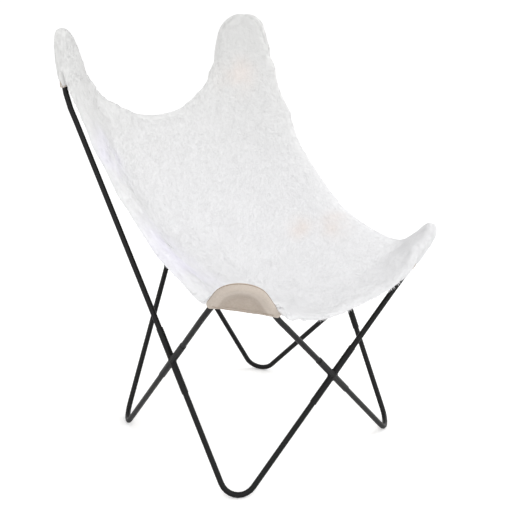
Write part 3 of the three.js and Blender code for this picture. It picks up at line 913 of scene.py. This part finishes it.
# The corners of a lock: the two sides of its foot, its ridge and its tip. Its faces are the foot's
# end, the underside and two sloping sides.
LOCK_FACES = np.array([[0, 1, 2], [0, 3, 1], [1, 3, 2], [2, 3, 0]])


def unit(rows):
    """Each row at length 1."""
    return rows / np.maximum(np.linalg.norm(rows, axis=1), NEXT_TO_NOTHING)[:, None]


def triangle_corners(mesh):
    """The three corners of each of a mesh's triangles."""
    mesh.calc_loop_triangles()
    index = np.empty(len(mesh.loop_triangles) * 3, np.int32)
    mesh.loop_triangles.foreach_get("vertices", index)
    spots = np.empty(len(mesh.vertices) * 3)
    mesh.vertices.foreach_get("co", spots)
    return spots.reshape(-1, 3)[index.reshape(-1, 3)]


rng = np.random.default_rng(LOCK_SEED)
corners = [triangle_corners(piece.data) for piece in (hide, *hems)]
hide_faces = len(corners[0])
corners = np.concatenate(corners)
one, two, three = (corners[:, k] for k in range(3))
crossed = np.cross(two - one, three - one)
area = np.linalg.norm(crossed, axis=1) / 2
faces_out = unit(crossed)
middle = (one + two + three) / 3
facing = (unit(np.array(SITTER) - middle) * faces_out).sum(1)
growing = np.clip(facing * GROW_SLOPE + HIDE_GROWS, 0, 1)
growing[hide_faces:] = np.clip(facing[hide_faces:] * GROW_SLOPE + HEM_GROWS, 0, 1)
by_pocket = (
    (middle[:, 0] < POCKET_CORNER[0]) & (middle[:, 1] < POCKET_CORNER[1]) & (middle[:, 2] > POCKET_CORNER[2])
)
for index in np.flatnonzero(by_pocket):
    if index < hide_faces and tucked(Vector(middle[index]), low_path) is not None:
        growing[index] = 0

count = int((area * growing).sum() * LOCKS_PER_METRE)
chosen = rng.choice(len(area), count, p=area * growing / (area * growing).sum())
first, second = rng.random((2, count))
over = first + second > 1
first[over], second[over] = 1 - first[over], 1 - second[over]
root = one[chosen] + (two - one)[chosen] * first[:, None] + (three - one)[chosen] * second[:, None]
grow = faces_out[chosen]
edge_share = np.clip(1 - facing[chosen] * EDGE_SLOPE, 0, 1)

swirl = np.array([
    [noise.noise(Vector(p) / LOCK_SWIRL + Vector((k * SWIRL_APART, 0, 0))) for k in range(3)]
    for p in root
])
combed = np.stack([root[:, 0] * LIE_ASIDE, np.full(count, LIE_BACK), np.full(count, LIE_UP)], 1)
lie = combed + swirl * SWIRL_SHARE
lie += rng.normal(0, LIE_SPREAD, (count, 3))
lie = unit(lie - grow * (lie * grow).sum(1)[:, None])
down = np.array([0, 0, -1.0])
flatness = (LOCK_LIE - EDGE_LIFT * edge_share)[:, None]
way = unit(grow + lie * flatness + down * (edge_share * EDGE_DROOP)[:, None])
length = LOCK_LENGTH + (EDGE_LOCK_LENGTH - LOCK_LENGTH) * edge_share
length *= rng.uniform(*LENGTH_RANGE, count)
side = unit(np.cross(way, grow))
rise = np.cross(side, way)
foot = root - grow * LOCK_ROOT
wide = LOCK_WIDTH * rng.uniform(*WIDTH_RANGE, count)[:, None]
tip = foot + way * length[:, None]
points = np.stack([foot - side * wide, foot + side * wide, foot + rise * wide * LOCK_RIDGE, tip], 1)

# A lock's sloping sides shine as the hide under them does, with a little disorder.
soft = grow + side * rng.normal(0, LOCK_SHINE, (count, 1))
soft = unit(soft + lie * rng.normal(SHINE_FORWARD, LOCK_SHINE, (count, 1)))
normals = np.stack([-way, -rise, soft, soft], 1)

for sheet in range(LOCK_SHEETS):
    part = points[sheet::LOCK_SHEETS].reshape(-1, 3)
    starts = np.arange(0, len(part), 4)[:, None, None]
    tris = (starts + LOCK_FACES).reshape(-1, 3)
    mesh = bpy.data.meshes.new(f"hide_pile_{sheet + 1}")
    mesh.from_pydata(part.tolist(), [], tris.tolist())
    locks = bpy.data.objects.new(f"hide_pile_{sheet + 1}", mesh)
    bpy.context.collection.objects.link(locks)
    mesh.shade_smooth()
    corner_normals = np.repeat(normals[sheet::LOCK_SHEETS].reshape(-1, 3), 3, axis=0)
    mesh.normals_split_custom_set(corner_normals.tolist())
    fit(locks, pile, "hide")

# Studio
# A pale floor that runs out of sight, a white surround and four broad soft lamps. The floor and
# the surround are drawn white to the camera, and the object's shadow stays on the floor.
FLOOR_SIZE = 40
PAPER_WHITE = (0.9, 0.9, 0.9, 1)
PAPER_ROUGHNESS = 0.9
PAPER_GLOW = 0.3
WALL_WHITE = (1, 1, 1, 1)
FILL_LEVEL = 0.86
LAMP_SIZE = 2.0
LAMPS = {
    "key": ((-0.7, -2.6, 1.9), (0, 0, 0.5), 11),
    "side": ((2.6, -0.9, 1.5), (0, 0, 0.5), 26),
    "left": ((-2.5, -0.9, 1.5), (0, 0, 0.5), 10),
    "top": ((0.1, -0.7, 2.9), (0, -0.1, 0.5), 9),
}

bpy.ops.mesh.primitive_plane_add(size=FLOOR_SIZE, location=(0, 0, 0))
floor = bpy.context.active_object
floor.name = "studio_floor"

# Matt white paper, plain and even. Its glow is for the camera's own rays alone.
paper, shader, place = start_material("white_paper", PAPER_ROUGHNESS)
shader.inputs["Base Color"].default_value = PAPER_WHITE
shader.inputs["Emission Color"].default_value = WALL_WHITE
ray = add_node(paper, "ShaderNodeLightPath", {}).outputs["Is Camera Ray"]
glow = add_node(paper, "ShaderNodeMath", {0: ray, 1: PAPER_GLOW}, operation="MULTIPLY").outputs[0]
link_shader(paper, shader, Emission_Strength=glow)
floor.data.materials.append(paper)

world = bpy.data.worlds.new("studio")
bpy.context.scene.world = world
world.use_nodes = True
sky = world.node_tree.nodes["Background"]
sky.inputs["Color"].default_value = WALL_WHITE
rays = add_node(world, "ShaderNodeLightPath", {})
seen = add_node(
    world, "ShaderNodeMath",
    {0: rays.outputs["Is Camera Ray"], 1: rays.outputs["Is Glossy Ray"]}, operation="MAXIMUM",
).outputs[0]
level = add_node(world, "ShaderNodeMapRange", {"Value": seen, "To Min": FILL_LEVEL, "To Max": 1})
world.node_tree.links.new(level.outputs["Result"], sky.inputs["Strength"])

for name, (place, aim, watts) in LAMPS.items():
    lamp = bpy.data.lights.new(name, "AREA")
    lamp.shape = "DISK"
    lamp.size = LAMP_SIZE
    lamp.energy = watts
    holder = bpy.data.objects.new(name, lamp)
    bpy.context.collection.objects.link(holder)
    holder.location = place
    holder.rotation_euler = (Vector(aim) - Vector(place)).to_track_quat("-Z", "Y").to_euler()

# Camera
# It stands to the chair's front left, a little above the seat, as in the photograph.
FRAME_PIXELS = 520
SENSOR = 36
VIEW_AZIMUTH = -0.7288195701
VIEW_RISE = 0.3206390429
VIEW_ROLL = 0.0063082951
VIEW_DISTANCE = 2.155897
VIEW_AIM = Vector((0, -0.02806, 0.45))
FOCAL_PIXELS = 984.531
CENTRE_X = -6.84164
CENTRE_Y = -19.64504

level_right = Vector((math.cos(VIEW_AZIMUTH), math.sin(VIEW_AZIMUTH), 0))
away = Vector((
    math.sin(VIEW_AZIMUTH) * math.cos(VIEW_RISE),
    -math.cos(VIEW_AZIMUTH) * math.cos(VIEW_RISE),
    math.sin(VIEW_RISE),
))
level_up = away.cross(level_right)
right = level_right * math.cos(VIEW_ROLL) + level_up * math.sin(VIEW_ROLL)
up = level_up * math.cos(VIEW_ROLL) - level_right * math.sin(VIEW_ROLL)
lens = bpy.data.cameras.new("camera")
lens.sensor_width = SENSOR
lens.lens = FOCAL_PIXELS * SENSOR / FRAME_PIXELS
lens.shift_x = -CENTRE_X / FRAME_PIXELS
lens.shift_y = CENTRE_Y / FRAME_PIXELS
camera = bpy.data.objects.new("camera", lens)
bpy.context.collection.objects.link(camera)
camera.matrix_world = Matrix.Translation(VIEW_AIM + away * VIEW_DISTANCE) @ Matrix(
    (right, up, away)
).transposed().to_4x4()
bpy.context.scene.camera = camera
bpy.context.scene.view_settings.view_transform = "Standard"
